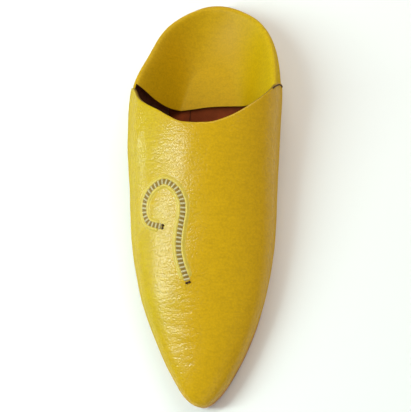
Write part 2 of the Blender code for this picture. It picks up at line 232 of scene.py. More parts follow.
# Crest of the folded heel in shares of the instep height; how far the wall leans in up to it
# and how far the flap's slope reaches inside it, in shares of half the width; how hollow the
# slope is, where 1 is a plane.
FOLD_COLUMNS = ("angle", "crest", "lean_outer", "lean_inner", "reach_outer", "reach_inner",
                "hollow_outer", "hollow_inner")
FOLD = (
    (105.0, 0.70, 0.045, 0.040, 0.54, 0.54, 1.15, 1.5),
    (119.0, 0.70, 0.045, 0.040, 0.52, 0.54, 1.15, 1.5),
    (127.0, 0.665, 0.045, 0.030, 0.49, 0.56, 1.15, 1.6),
    (135.0, 0.60, 0.045, 0.025, 0.45, 0.60, 1.2, 1.8),
    (150.0, 0.475, 0.045, 0.025, 0.40, 0.66, 1.35, 2.0),
    (165.0, 0.405, 0.055, 0.045, 0.52, 0.70, 1.7, 2.0),
    (180.0, 0.385, 0.070, 0.070, 0.70, 0.70, 2.0, 2.0),
)

# Free edge of the flap: its distance behind the middle in shares of half the length, from the
# outer (-1) to the inner corner (1).
EDGE_COLUMNS = ("across", "behind")
EDGE = (
    (-1.0, 0.5165),
    (-0.89, 0.495),
    (-0.79, 0.473),
    (-0.66, 0.459),
    (-0.5, 0.461),
    (-0.3, 0.4675),
    (-0.1, 0.4765),
    (0.14, 0.480),
    (0.6, 0.467),
    (1.0, 0.409),
)

# Soft folds of the vamp in millimetres: the start and the end of a line in plan, then the fold's
# half breadth and its height (a trough is negative).
CREASES = (
    (-22.0, -78.0, -4.0, -81.0, 1.3, -0.06),
    (-24.0, -83.5, 2.0, -86.5, 1.4, 0.06),
    (-20.0, -89.0, -2.0, -92.0, 1.2, -0.07),
    (-20.0, -94.0, 4.0, -96.5, 1.4, 0.06),
    (-16.0, -99.5, 6.0, -101.0, 1.2, -0.06),
    (-15.0, -105.0, 8.0, -107.0, 1.3, 0.05),
    (-10.0, -111.0, 8.0, -112.0, 1.2, -0.05),
    (12.0, -60.0, 36.0, -54.0, 1.6, -0.10),
    (10.0, -46.0, 40.0, -40.0, 1.8, 0.10),
    (14.0, -30.0, 43.0, -24.0, 1.6, -0.12),
    (12.0, -14.0, 44.0, -8.0, 1.9, 0.10),
    (16.0, 2.0, 46.0, 8.0, 1.6, -0.10),
    (-46.0, 10.0, -34.0, 18.0, 3.0, -0.20),
    (-44.0, 26.0, -30.0, 38.0, 3.5, 0.22),
    (-2.0, 34.0, -11.0, -2.0, 5.0, 0.06),
    (6.0, 30.0, 3.0, -20.0, 6.0, -0.06),
    (-24.0, -52.0, -19.0, -104.0, 6.0, 0.10),
)

# Path of the tack at the inner corner of the throat: share across the vamp, and angle.
TACK = (
    (0.482, 117.5),
    (0.510, 118.4),
    (0.545, 119.3),
    (0.590, 120.1),
    (0.640, 120.5),
    (0.690, 120.4),
)

# Middle line of the sewn scroll on the outer side of the vamp, in plan, in millimetres.
SCROLL = (
    (-23.9, -27.2), (-29.1, -25.6), (-32.3, -23.3), (-34.3, -18.9), (-34.7, -14.5),
    (-34.0, -9.9), (-31.6, -5.7), (-28.4, -2.6), (-24.5, -0.6), (-20.7, 0.3),
    (-16.7, -1.3), (-13.0, -4.3), (-10.4, -8.4), (-8.7, -13.1), (-8.4, -19.0),
    (-9.4, -24.8), (-10.4, -30.5), (-11.2, -37.0), (-11.2, -42.0), (-10.5, -46.9),
    (-9.0, -52.1), (-7.2, -57.0), (-5.9, -60.6),
)

# The studio. A light has the name of its power's setting, its place, its width and length,
# and its tint.
COOL = (0.80, 0.99, 0.98)
WARM = (1.0, 0.95, 0.87)
LIGHTS = (
    ("window", (-0.545, -0.175, 0.65), (0.05, 0.60), COOL),
    ("skylight", (-0.275, -0.06, 0.77), (0.035, 0.15), COOL),
    ("low_window", (-0.9, 0.06, 0.17), (0.10, 0.24), COOL),
    ("side_sky", (-1.08, -0.12, 0.82), (0.9, 1.3), COOL),
    ("fill", (0.35, 0.9, 1.1), (1.4, 0.9), WARM),
    ("front", (0.5, -1.2, 0.8), (1.4, 0.9), WARM),
)
LIGHT_AIM = (0.0, 0.0, 0.03)
ROOM_LIGHT = 0.36
FLOOR_SIZE = 4.0
CAMERA_AT = (0.1223, -0.22119, 0.75751)
CAMERA_BACK = (0.16012, -0.28346, 0.94552)
CAMERA_RIGHT = (0.98704, 0.03576, -0.15643)
CAMERA_SHIFT = (0.0134, -0.0258)


def linear(code):
    """Linear colour of an sRGB hex value."""
    value = np.array([int(code[i:i + 2], 16) for i in (1, 3, 5)]) / 255.0
    flat = np.where(value <= 0.04045, value / 12.92, ((value + 0.055) / 1.055) ** 2.4)
    return tuple(float(v) for v in flat)


def length_setting(name, description, default):
    """A size in metres that a user may change."""
    return FloatProperty(name=name, description=description, default=default, min=0.0,
                         unit="LENGTH", subtype="DISTANCE")


def colour_setting(name, description, code):
    """A colour that a user may change, given as an sRGB hex value."""
    return FloatVectorProperty(name=name, description=description, default=linear(code),
                               size=3, min=0.0, max=1.0, subtype="COLOR")


def power_setting(name, description, default):
    """A light's power in watts."""
    return FloatProperty(name=name, description=description, default=default, min=0.0,
                         unit="POWER")


class SlipperSizes(bpy.types.PropertyGroup):
    """Sizes of the sewing and of the visible detail."""

    band_width: length_setting("Scroll width", "Width of the sewn band", 0.0050)
    band_rim: length_setting("Scroll rim", "Height of the leather raised along the band", 0.0007)
    stitch_pitch: length_setting("Stitch pitch", "Distance between the scroll's stitches", 0.00272)
    thread: length_setting("Thread", "Diameter of the scroll's thread", 0.0015)
    tack: length_setting("Tack", "Diameter of the thread at the throat's inner corner", 0.0010)
    sole_pitch: length_setting("Sole pitch", "Distance between the sole's stitches", 0.0068)
    sole_stitch: length_setting("Sole stitch", "Length of a stitch along the rim", 0.0030)
    sole_thread: length_setting("Sole thread", "Diameter of the sole's thread", 0.0012)
    grain: length_setting("Grain", "Size of a pebble of the goat leather's grain", 0.0013)


class SlipperColours(bpy.types.PropertyGroup):
    """Colours of the leathers, the threads and the floor."""

    # Painted light and shade: the lemon stands for the window's light on the outer side, the ochre
    # for shade on the inner side.
    yellow: colour_setting("Yellow", "Lemon yellow of the vamp's outer side, as painted light", "#C4A900")
    ochre: colour_setting("Ochre", "Deeper yellow of the vamp's inner side, as painted shade", "#CC9E00")
    # Painted light and shade on the folded heel: lemon on its lit inner wing, deeper yellow in its
    # shaded bowl.
    heel: colour_setting("Heel yellow", "Yellow of the pressed, folded heel, lemon as painted light", "#CCA900")
    heel_ochre: colour_setting("Heel ochre", "Deeper yellow of the folded heel, painted shade of its bowl", "#CA9D00")
    lining: colour_setting("Lining", "Undyed inside of the leather", "#B07C60")
    # Partly painted shade: the flap's cut edge is made dark brown to give the shadow line under
    # its free edge.
    edge: colour_setting("Cut edge", "Edge of the folded flap", "#7A5A1E")
    # Partly painted shade: the vamp's edge is brown dye and is darkened to give the shadow line at
    # the throat's corners.
    dyed_edge_and_shade: colour_setting("Dyed and shaded edge", "Edge of the vamp", "#8A6A14")
    insole: colour_setting("Insole", "Red-brown insole leather", "#743212")
    sole: colour_setting("Sole", "Sole leather", "#B47A30")
    # Painted highlight: the scroll's band is given a paler yellow that stands for the light on its
    # raised rims.
    rim: colour_setting("Rim", "Pale yellow painted on the scroll's band as its highlight", "#D0B444")
    cord: colour_setting("Cord", "Cord under the scroll's stitches", "#94742E")
    thread: colour_setting("Thread", "Raw thread of the scroll's stitches", "#CDBE90")
    sole_thread: colour_setting("Sole thread", "Waxed thread of the sole", "#4A2F14")
    floor: colour_setting("Floor", "Studio floor", "#F2F1EE")


class StudioSettings(bpy.types.PropertyGroup):
    """Camera and lights."""

    window: power_setting("Window", "Power of the tall window light in watts", 4.0)
    skylight: power_setting("Skylight", "Power of the short high light in watts", 0.65)
    side_sky: power_setting("Side sky", "Power of the broad side light in watts", 4.5)
    low_window: power_setting("Low window", "Power of the low side light in watts", 0.8)
    fill: power_setting("Fill", "Power of the warm overhead light in watts", 10.6)
    front: power_setting("Front", "Power of the light at the toe in watts", 2.0)
    lens: FloatProperty(name="Lens", description="Focal length on a 36 mm sensor",
                        default=103.33, min=10.0, subtype="DISTANCE_CAMERA")


def column(columns, rows, name, angle):
    """Value of a table's column at an angle, by a cubic through the rows."""
    table = np.array(rows)
    x = table[:, 0]
    y = table[:, columns.index(name)]
    slope = np.gradient(y, x)
    a = np.clip(angle, x[0], x[-1])
    i = np.clip(np.searchsorted(x, a, side="right") - 1, 0, len(x) - 2)
    h = x[i + 1] - x[i]
    t = (a - x[i]) / h
    return ((2 * t**3 - 3 * t**2 + 1) * y[i] + (t**3 - 2 * t**2 + t) * h * slope[i]
            + (3 * t**2 - 2 * t**3) * y[i + 1] + (t**3 - t**2) * h * slope[i + 1])


def ground(y):
    """Height of the sole's underside: a parabola at the toe and a sine arch at the waist."""
    share = y / LENGTH + 0.5
    toe = np.clip(1.0 - share / SPRING_SHARE, 0.0, 1.0)
    arch = np.clip((share - ARCH_FROM) / (ARCH_TO - ARCH_FROM), 0.0, 1.0)
    return TOE_SPRING * toe**2 + ARCH_RISE * np.sin(math.pi * arch) ** 2


def plan_edge(side, angle, inset):
    """Outline on a side (-1 outer, 1 inner): table width over a cosine along the length,
    moved inward by an inset along the station's own direction."""
    outer = column(PLAN_COLUMNS, PLAN, "outer_edge", angle)
    inner = column(PLAN_COLUMNS, PLAN, "inner_edge", angle)
    x = np.where(side < 0, outer, inner) * WIDTH / 2
    turn = np.radians(angle)
    return x - side * inset * np.sin(turn), (inset - LENGTH / 2) * np.cos(turn)


def widest_edges(angle):
    """Outer and inner side of the widest outline at a station."""
    outer, _ = plan_edge(-np.ones_like(angle), angle, 0.0)
    inner, _ = plan_edge(np.ones_like(angle), angle, 0.0)
    return outer, inner


def widest_level(angle):
    """Height at which the upper is widest."""
    return column(SECTION_COLUMNS, SECTIONS, "widest_level", angle) * INSTEP_HEIGHT


def ridge_height(angle):
    """Height of the vamp's ridge."""
    return column(SECTION_COLUMNS, SECTIONS, "ridge", angle) * INSTEP_HEIGHT


def arch_power(angle):
    """How square the vamp's arch is, as the power of its superellipse."""
    return column(SECTION_COLUMNS, SECTIONS, "squareness", angle)


def crest_height(angle):
    """Height of the folded heel's crest."""
    return column(FOLD_COLUMNS, FOLD, "crest", angle) * INSTEP_HEIGHT


def smooth(share):
    """A share turned into a smooth step: three squares less two cubes."""
    return share**2 * (3.0 - 2.0 * share)


def unit(vectors):
    """Vectors divided by their own lengths."""
    return vectors / np.linalg.norm(vectors, axis=-1, keepdims=True)


def foot_inset(side, angle, line):
    """Inset of the feather line or of the sole's edge on a side."""
    outer = column(FOOT_COLUMNS, FOOT, line + "_outer", angle)
    inner = column(FOOT_COLUMNS, FOOT, line + "_inner", angle)
    return np.where(side < 0, outer, inner) * WIDTH / 2


def feather_level(y):
    """Height at which the upper and the insole begin."""
    return ground(y) + SOLE_THICKNESS + GAP


def skirt(side, angle, share, inset):
    """Wall under the widest level: an ellipse's arc from there (0) to the feather line (1)."""
    level = widest_level(angle)
    turn = share * SKIRT_TURN
    inward = (1.0 - np.cos(turn)) / (1.0 - math.cos(SKIRT_TURN))
    drop = np.sin(turn) / math.sin(SKIRT_TURN)
    x, y = plan_edge(side, angle, inset + foot_inset(side, angle, "feather") * inward)
    return x, y, level + (feather_level(y) - level) * drop


def vamp_point(across, angle):
    """Outer face of the vamp: across the foot a superellipse's arch, then the skirt."""
    side = np.where(across < 0, -1.0, 1.0)
    share = np.abs(across)
    level = widest_level(angle)
    ridge = ridge_height(angle)
    power = arch_power(angle)
    edge, y = plan_edge(side, angle, 0.0)
    outer, inner = widest_edges(angle)
    middle = (outer + inner) / 2
    turn = np.clip(share / DOME_SHARE, 0.0, 1.0) * math.pi / 2
    x = middle + (edge - middle) * np.sin(turn) ** power
    z = level + (ridge - level) * np.clip(np.cos(turn), 0.0, 1.0)
    low = np.clip((share - DOME_SHARE) / (1.0 - DOME_SHARE), 0.0, 1.0)
    low_x, low_y, low_z = skirt(side, angle, low, 0.0)
    below = share > DOME_SHARE
    return np.stack([np.where(below, low_x, x), np.where(below, low_y, y),
                     np.where(below, low_z, z)], axis=-1)


def vamp_at(x, y):
    """The inverse of the arch: across share and angle of the vamp under a point in plan."""
    angle = np.degrees(np.arccos(np.clip(-2.0 * y / LENGTH, -1.0, 1.0)))
    outer, inner = widest_edges(angle)
    middle = (outer + inner) / 2
    edge = np.where(x < middle, outer, inner)
    power = arch_power(angle)
    reach = np.clip((x - middle) / (edge - middle), 0.0, 1.0) ** (1.0 / power)
    return np.where(x < middle, -1.0, 1.0) * np.arcsin(reach) / (math.pi / 2) * DOME_SHARE, angle


def creases(x, y):
    """Sum of the folds: a Gaussian across each line, faded out towards its two ends."""
    rows = np.array(CREASES) * MILLIMETRE
    total = np.zeros_like(x)
    for x0, y0, x1, y1, breadth, height in rows:
        run = math.hypot(x1 - x0, y1 - y0)
        along = ((x - x0) * (x1 - x0) + (y - y0) * (y1 - y0)) / run**2
        off = ((x - x0) * (y1 - y0) - (y - y0) * (x1 - x0)) / run
        off = off + 0.0012 * np.sin(along * 7.0 + x0 * 900.0)
        fade = np.exp(-((np.clip(np.abs(along - 0.5) - 0.3, 0.0, None) / 0.22) ** 2))
        total += height * np.exp(-((off / breadth) ** 2)) * fade
    return total


def unevenness(x, y):
    """Slow waves of a hand-lasted upper, a sum of four sines with unlike wavelengths."""
    return UNEVENNESS * (np.sin(x * 150.0 + y * 60.0) + np.sin(y * 118.0 - x * 70.0 + 1.3)
                         + 0.6 * np.sin(x * 260.0 - y * 170.0 + 0.4)
                         + 0.5 * np.sin(y * 330.0 + x * 90.0 + 2.2))


def grid_normals(points):
    """Unit normals of a grid, from the cross product of its two directions."""
    down = np.gradient(points, axis=0)
    across = np.gradient(points, axis=1)
    normal = np.cross(down, across)
    size = np.linalg.norm(normal, axis=-1, keepdims=True)
    return np.where(size > 1e-12, normal / np.maximum(size, 1e-12), 0.0)


def vamp_relief(across, angle):
    """The vamp with its folds, outward from the plain form."""
    points = vamp_point(across, angle)
    x, y = points[..., 0], points[..., 1]
    calm = np.clip(angle / 25.0, 0.0, 1.0) * np.clip((1.0 - np.abs(across)) / 0.2, 0.0, 1.0)
    normal = grid_normals(points)
    upward = np.sign(np.sum(normal[..., 2]))
    return points + normal * upward * ((creases(x, y) + unevenness(x, y)) * calm)[..., None]


def seam_step(angle):
    """How far the quarter lies inside the vamp's face; nothing at the back of the heel."""
    share = np.clip((STEP_FADE_TO - angle) / (STEP_FADE_TO - STEP_FADE_FROM), 0.0, 1.0)
    return SEAM_STEP * smooth(share)


def dome_inset(angle, height):
    """How far inside the widest outline the vamp's face lies at a height."""
    level = widest_level(angle)
    ridge = ridge_height(angle)
    power = arch_power(angle)
    outer, inner = widest_edges(angle)
    rise = np.clip((height - level) / (ridge - level), 0.0, 1.0)
    return (inner - outer) / 2 * (1.0 - (1.0 - rise**2) ** (power / 2))


def fold_lean(side, angle, rise):
    """How far the quarter's wall leans in on the way from its widest level (0) to the fold (1):
    it follows the vamp's face beneath it and has its own lean further back."""
    outer = column(FOLD_COLUMNS, FOLD, "lean_outer", angle)
    inner = column(FOLD_COLUMNS, FOLD, "lean_inner", angle)
    own = np.where(side < 0, outer, inner) * WIDTH / 2 * (1.0 - np.cos(math.pi * rise)) / 2
    level = widest_level(angle)
    top = crest_height(angle) - FOLD_RADIUS
    under = dome_inset(angle, level + (top - level) * rise)
    share = np.clip((angle - LEAN_FROM) / (LEAN_FULL - LEAN_FROM), 0.0, 1.0)
    return under + (own - under) * smooth(share)


def crest_point(side, angle):
    """Top of the fold round the heel."""
    inset = seam_step(angle) + fold_lean(side, angle, 1.0) + FOLD_RADIUS
    x, y = plan_edge(side, angle, inset)
    return x, y, crest_height(angle)


def quarter_wall(side, angle, share, depth):
    """The quarter from the feather line (0) to the crest of the fold (1), at a depth in the
    leather: the skirt up to the widest level, the leaning wall, a quarter circle on top."""
    low = np.clip(1.0 - share / WALL_SPLIT, 0.0, 1.0)
    low_x, low_y, low_z = skirt(side, angle, low, seam_step(angle) + depth)
    rise = np.clip((share - WALL_SPLIT) / (FOLD_SPLIT - WALL_SPLIT), 0.0, 1.0)
    turn = np.clip((share - FOLD_SPLIT) / (1.0 - FOLD_SPLIT), 0.0, 1.0) * math.pi / 2
    level = widest_level(angle)
    height = crest_height(angle)
    inset = seam_step(angle) + depth + fold_lean(side, angle, rise)
    x, y = plan_edge(side, angle, inset + (FOLD_RADIUS - depth) * (1.0 - np.cos(turn)))
    z = level + (height - FOLD_RADIUS - level) * rise + (FOLD_RADIUS - depth) * np.sin(turn)
    below = share < WALL_SPLIT
    return np.stack([np.where(below, low_x, x), np.where(below, low_y, y),
                     np.where(below, low_z, z)], axis=-1)


def flap_floor():
    """Upper face of the flap where it lies on the insole."""
    return SOLE_THICKNESS + INSOLE_THICKNESS + 3 * GAP + QUARTER_WALL


def flap_height(x, y):
    """Height of the flap. Every point of the crest counts by the inverse fourth power of its
    distance; the sum gives a distance that is true beside a straight crest and smooth in the
    bowl, and the same weights give the crest's height, the slope's reach and its hollow."""
    fine = np.linspace(MARGIN_ANGLE, 180.0, 260)
    rim = [crest_point(side * np.ones_like(fine), fine) for side in (-1.0, 1.0)]
    piece = [np.hypot(np.gradient(r[0]), np.gradient(r[1])) for r in rim]
    rim_x, rim_y, rim_z = (np.concatenate([r[k] for r in rim]) for k in range(3))
    away = np.hypot(x[..., None] - rim_x, y[..., None] - rim_y)
    weight = np.concatenate(piece) / np.maximum(away, 0.00005) ** 4
    total = np.sum(weight, axis=-1)
    distance = (2.0 * total / math.pi) ** (-1.0 / 3.0)

    def blend(name):
        sides = [column(FOLD_COLUMNS, FOLD, name + "_" + s, fine) for s in ("outer", "inner")]
        return np.sum(weight * np.concatenate(sides), axis=-1) / total

    drop = np.sum(weight * rim_z, axis=-1) / total - flap_floor()
    reach = blend("reach") * WIDTH / 2
    hollow = blend("hollow")
    soft = FOLD_RADIUS * hollow * drop / reach
    share = (np.hypot(distance, soft) - soft) / (np.hypot(reach, soft) - soft)
    return flap_floor() + drop * np.clip(1.0 - share, 0.0, 1.0) ** hollow


def flap_underside(x, y, z):
    """Height of the flap's lower face: the leather's thickness, taken square to the slope."""
    step = SEAM_STEP / 4
    slope_x = (flap_height(x + step, y) - flap_height(x - step, y)) / (2 * step)
    slope_y = (flap_height(x, y + step) - flap_height(x, y - step)) / (2 * step)
    return z - QUARTER_WALL * np.sqrt(1.0 + slope_x**2 + slope_y**2)


def quarter_grids(columns, wall_rows, flap_rows):
    """The quarter as a closed solid of grids: the wall and the flap, on straight lines that
    fan from the crest forward to the free edge; the same at the leather's depth inside; and
    the strips that join the two along the cut edges."""
    turn = np.linspace(-1.0, 1.0, columns)
    side = np.where(turn < 0, -1.0, 1.0)
    angle = 180.0 - np.abs(turn) * (180.0 - np.where(side < 0, MARGIN_ANGLE, CORNER_INNER))
    rise = np.linspace(0.0, 1.0, wall_rows)
    levels = np.interp(rise, (0.0, 0.3, 0.6, 1.0), (0.0, WALL_SPLIT, FOLD_SPLIT, 1.0))
    shape = (wall_rows, columns)
    wall, lining = (quarter_wall(np.broadcast_to(side, shape), np.broadcast_to(angle, shape),
                                 np.broadcast_to(levels[:, None], shape), depth)
                    for depth in (0.0, QUARTER_WALL))
    folded = angle >= np.where(side < 0, CORNER_OUTER, CORNER_INNER)
    share = np.linspace(0.0, 1.0, flap_rows)[:, None] ** 1.5
    crest = wall[-1][folded]
    corner = np.where(side < 0, crest[0, 0], crest[-1, 0])[folded]
    first = np.where(side < 0, angle[folded][0], CORNER_INNER)[folded]
    reach = 1.0 - (1.0 - (180.0 - angle[folded]) / (180.0 - first)) ** FAN
    middle = column(PLAN_COLUMNS, PLAN, "inner_edge", 180.0) * WIDTH / 2
    edge_x = middle + (corner - middle) * reach
    edge_y = column(EDGE_COLUMNS, EDGE, "behind", side[folded] * reach) * LENGTH / 2
    edge_y = np.minimum(edge_y, crest[:, 1])
    x = crest[:, 0] + (edge_x - crest[:, 0]) * share
    y = crest[:, 1] + (edge_y - crest[:, 1]) * share
    z = flap_height(x, y)
    z[0] = crest[:, 2]
    below = flap_underside(x, y, z)
    below[0] = lining[-1][folded][:, 2]
    for end in (0, -1):
        y[:, end] = crest[end, 1]
        z[:, end] = z[0, end]
        below[:, end] = below[0, end]
    flap = np.stack([x, y, z], axis=-1)
    under = np.stack([x, y, below], axis=-1)
    start = int(np.argmax(folded)) + 1
    strips = [(wall[0], lining[0]), (wall[:, 0], lining[:, 0]), (wall[:, -1], lining[:, -1]),
              (flap[-1], under[-1]), (wall[-1, :start], lining[-1, :start])]
    return [wall, flap, lining, under] + [np.stack(pair) for pair in strips]


def grid_faces(rows, cols, start):
    """Quads of a grid as an index array."""
    index = np.arange(rows * cols).reshape(rows, cols) + start
    return np.stack([index[:-1, :-1], index[:-1, 1:], index[1:, 1:], index[1:, :-1]],
                    axis=-1).reshape(-1, 4)


def mesh_of(name, grids, closed=False, weld=0.00002, finish=None):
    """One mesh from grids of points, welded where they meet; finish gives each grid the
    index of its material."""
    faces = []
    start = 0
    for points in grids:
        rows, cols = points.shape[:2]
        faces.append(grid_faces(rows, cols, start))
        start += rows * cols
    mesh = bpy.data.meshes.new(name)
    points = np.concatenate([g.reshape(-1, 3) for g in grids])
    mesh.from_pydata(points, [], np.concatenate(faces))
    if finish is not None:
        index = np.repeat(np.array(finish, dtype=np.int32), [len(part) for part in faces])
        mesh.polygons.foreach_set("material_index", index)
    work = bmesh.new()
    work.from_mesh(mesh)
    bmesh.ops.remove_doubles(work, verts=work.verts[:], dist=weld)
    bmesh.ops.dissolve_degenerate(work, edges=work.edges[:], dist=weld / 2)
    if closed:
        bmesh.ops.recalc_face_normals(work, faces=work.faces[:])
    work.to_mesh(mesh)
    work.free()
    mesh.polygons.foreach_set("use_smooth", [True] * len(mesh.polygons))
    mesh.update()
    return mesh


def facing(mesh, axis_sum):
    """Flip the mesh where the sum given of its normals, weighted by area, is negative."""
    count = len(mesh.polygons)
    normal = np.empty(count * 3)
    centre = np.empty(count * 3)
    area = np.empty(count)
    mesh.polygons.foreach_get("normal", normal)
    mesh.polygons.foreach_get("center", centre)
    mesh.polygons.foreach_get("area", area)
    if axis_sum(centre.reshape(-1, 3), normal.reshape(-1, 3), area) < 0.0:
        mesh.flip_normals()


def place(name, mesh, body_slot, *nodes):
    """Show a mesh as a piece of the slipper that stands for its solid."""
    piece = bpy.data.objects.new(name, mesh)
    bpy.context.scene.collection.objects.link(piece)
    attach(piece, "root")
    if nodes:
        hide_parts(*nodes)
    return piece


def leather_wall(piece, thickness, materials):
    """Thickness of the leather, inward; its inside and its cut edge have their own finish."""
    for material in materials:
        piece.data.materials.append(material)
    wall = piece.modifiers.new("leather", "SOLIDIFY")
    wall.thickness = thickness
    wall.offset = -1.0
    wall.use_quality_normals = True
    wall.material_offset = 1
    wall.material_offset_rim = 2


def add(tree, kind, inputs=None, **settings):
    """Add a node with its settings; inputs hold values or (node, output) pairs to link."""
    node = tree.nodes.new(kind)
    for key, value in settings.items():
        setattr(node, key, value)
    for key, value in (inputs or {}).items():
        if isinstance(value, tuple) and len(value) == 2 and isinstance(value[0], bpy.types.Node):
            tree.links.new(value[0].outputs[value[1]], node.inputs[key])
        else:
            node.inputs[key].default_value = value
    return node


def blank_material(name):
    """A material with a surface shader and nothing set."""
    material = bpy.data.materials.new(name)
    material.use_nodes = True
    tree = material.node_tree
    return material, tree, tree.nodes["Principled BSDF"]


def link_mix(tree, mix, factor, first, second):
    """Set a colour mix's two colours and link its factor."""
    tree.links.new(factor.outputs["Result"], mix.inputs[0])
    mix.inputs[6].default_value = (*first, 1.0)
    mix.inputs[7].default_value = (*second, 1.0)


def goat_leather(name, lit_and_shaded_colours, sides, grain, pressed):
    """Aniline-dyed goat leather, glazed: a saturated yellow with a pebbled grain that breaks
    the highlight into sparks, and duller where it is seen at a slant; pressed smooth, from 0
    to 1, it keeps the highlight whole but soft. Painted light and shade: the colour turns from
    the first, lit colour to the second, shaded one between two distances to the side, and
    painted shade darkens the pebbles' hollows and the wrinkles' troughs."""
    material, tree, shader = blank_material(name)
    place_at = add(tree, "ShaderNodeTexCoord")
    where = (place_at, "Object")
    patch = add(tree, "ShaderNodeTexNoise", {"Vector": where, "Scale": DYE_PATCHES,
                                             "Detail": 3.0, "Roughness": 0.55})
    parts = add(tree, "ShaderNodeSeparateXYZ", {"Vector": where})
    # Painted light: the colour turns from the lit first colour to the shaded second one across the
    # foot.
    turn = add(tree, "ShaderNodeMapRange", {"Value": (parts, "X"), "From Min": sides[0],
                                            "From Max": sides[1], "To Min": -0.25,
                                            "To Max": 0.75}, interpolation_type="SMOOTHSTEP")
    uneven = add(tree, "ShaderNodeMath", {0: (patch, "Fac"), 1: 0.9, 2: (turn, "Result")},
                 operation="MULTIPLY_ADD")
    spread = add(tree, "ShaderNodeMapRange", {"Value": (uneven, "Value")})
    pores = add(tree, "ShaderNodeTexNoise", {"Vector": where, "Scale": PORES, "Detail": 2.0})
    pebble = add(tree, "ShaderNodeTexVoronoi", {"Vector": where, "Scale": 1.0 / grain,
                                                "Randomness": 1.0}, feature="SMOOTH_F1")
    pebble.inputs["Smoothness"].default_value = 0.5
    stretch = add(tree, "ShaderNodeMapping", {"Vector": where, "Scale": WRINKLES,
                                              "Rotation": (0.0, 0.0, WRINKLE_TURN)})
    wrinkle = add(tree, "ShaderNodeTexNoise", {"Vector": (stretch, "Vector"), "Scale": 1.0,
                                               "Detail": 2.0, "Roughness": 0.5,
                                               "Distortion": 0.8})
    base = add(tree, "ShaderNodeMix", data_type="RGBA")
    link_mix(tree, base, spread, *lit_and_shaded_colours)
    # Painted shade: the colour darkens in the pebbles' hollows and in the wrinkles' troughs.
    deep = add(tree, "ShaderNodeMapRange", {"Value": (pebble, "Distance"), "From Min": 0.25,
                                            "From Max": 0.75, "To Min": 0.0,
                                            "To Max": HOLLOW_PAINTED_SHADE})
    dark = tuple(c * 0.55 for c in lit_and_shaded_colours[1])
    shade = add(tree, "ShaderNodeMix", data_type="RGBA")
    lines = add(tree, "ShaderNodeMapRange", {"Value": (wrinkle, "Fac"), "From Min": 0.3,
                                             "From Max": 0.7, "To Min": WRINKLE_PAINTED_SHADE,
                                             "To Max": 0.0})
    depth = add(tree, "ShaderNodeMath", {0: (deep, "Result"), 1: (lines, "Result")},
                operation="ADD")
    tree.links.new(depth.outputs["Value"], shade.inputs[0])
    tree.links.new(base.outputs[2], shade.inputs[6])
    shade.inputs[7].default_value = (*dark, 1.0)
    tree.links.new(shade.outputs[2], shader.inputs["Base Color"])
    low, high = (edge + PRESSED_ROUGHNESS * pressed for edge in GLAZE_ROUGHNESS)
    rough = add(tree, "ShaderNodeMapRange", {"Value": (pores, "Fac"), "From Min": 0.3,
                                             "From Max": 0.7, "To Min": low, "To Max": high})
    rim = add(tree, "ShaderNodeLayerWeight", {"Blend": 0.5})
    glance = add(tree, "ShaderNodeMapRange", {"Value": (rim, "Facing"), "From Min": 0.5,
                                              "From Max": 0.85, "To Min": 0.0, "To Max": 0.7})
    gloss = add(tree, "ShaderNodeMath", {0: (rough, "Result"), 1: (glance, "Result")},
                operation="ADD")
    tree.links.new(gloss.outputs["Value"], shader.inputs["Roughness"])
    shader.inputs["IOR"].default_value = LEATHER_IOR
    gloss_level = shader.inputs["Specular IOR Level"]
    gloss_level.default_value = LEATHER_GLOSS * (1.0 - 0.55 * pressed)
    dome = add(tree, "ShaderNodeMath", {0: (pebble, "Distance"), 1: 2.0}, operation="POWER")
    hollow = add(tree, "ShaderNodeMath", {0: 1.0, 1: (dome, "Value")}, operation="SUBTRACT")
    first = add(tree, "ShaderNodeBump", {"Height": (hollow, "Value"),
                                         "Strength": PEBBLE_BUMP * (1.0 - pressed),
                                         "Distance": 0.0004})
    second = add(tree, "ShaderNodeBump", {"Height": (wrinkle, "Fac"), "Normal": (first, "Normal"),
                                          "Strength": WRINKLE_BUMP * (1.0 - 0.6 * pressed),
                                          "Distance": 0.0007})
    third = add(tree, "ShaderNodeBump", {"Height": (pores, "Fac"), "Normal": (second, "Normal"),
                                         "Strength": PORE_BUMP, "Distance": 0.0002})
    tree.links.new(third.outputs["Normal"], shader.inputs["Normal"])
    return material


def plain_leather(name, colour, roughness, gloss, scale, contrast, bump):
    """Undyed or once-dyed leather: dull, with fibres and uneven dye, the scale in repeats a
    metre."""
    material, tree, shader = blank_material(name)
    place_at = add(tree, "ShaderNodeTexCoord")
    noise = add(tree, "ShaderNodeTexNoise", {"Vector": (place_at, "Object"), "Scale": scale,
                                             "Detail": 6.0, "Roughness": 0.65})
    spread = add(tree, "ShaderNodeMapRange", {"Value": (noise, "Fac"), "From Min": 0.3,
                                              "From Max": 0.7})
    mix = add(tree, "ShaderNodeMix", data_type="RGBA")
    link_mix(tree, mix, spread, tuple(c * (1.0 - contrast) for c in colour),
             tuple(min(1.0, c * (1.0 + contrast)) for c in colour))
    tree.links.new(mix.outputs[2], shader.inputs["Base Color"])
    shader.inputs["Roughness"].default_value = roughness
    shader.inputs["Specular IOR Level"].default_value = gloss
    fibre = add(tree, "ShaderNodeTexNoise", {"Vector": (place_at, "Object"),
                                             "Scale": scale * 6.0, "Detail": 5.0})
    rise = add(tree, "ShaderNodeBump", {"Height": (fibre, "Fac"), "Strength": bump,
                                        "Distance": 0.0004})
    tree.links.new(rise.outputs["Normal"], shader.inputs["Normal"])
    return material


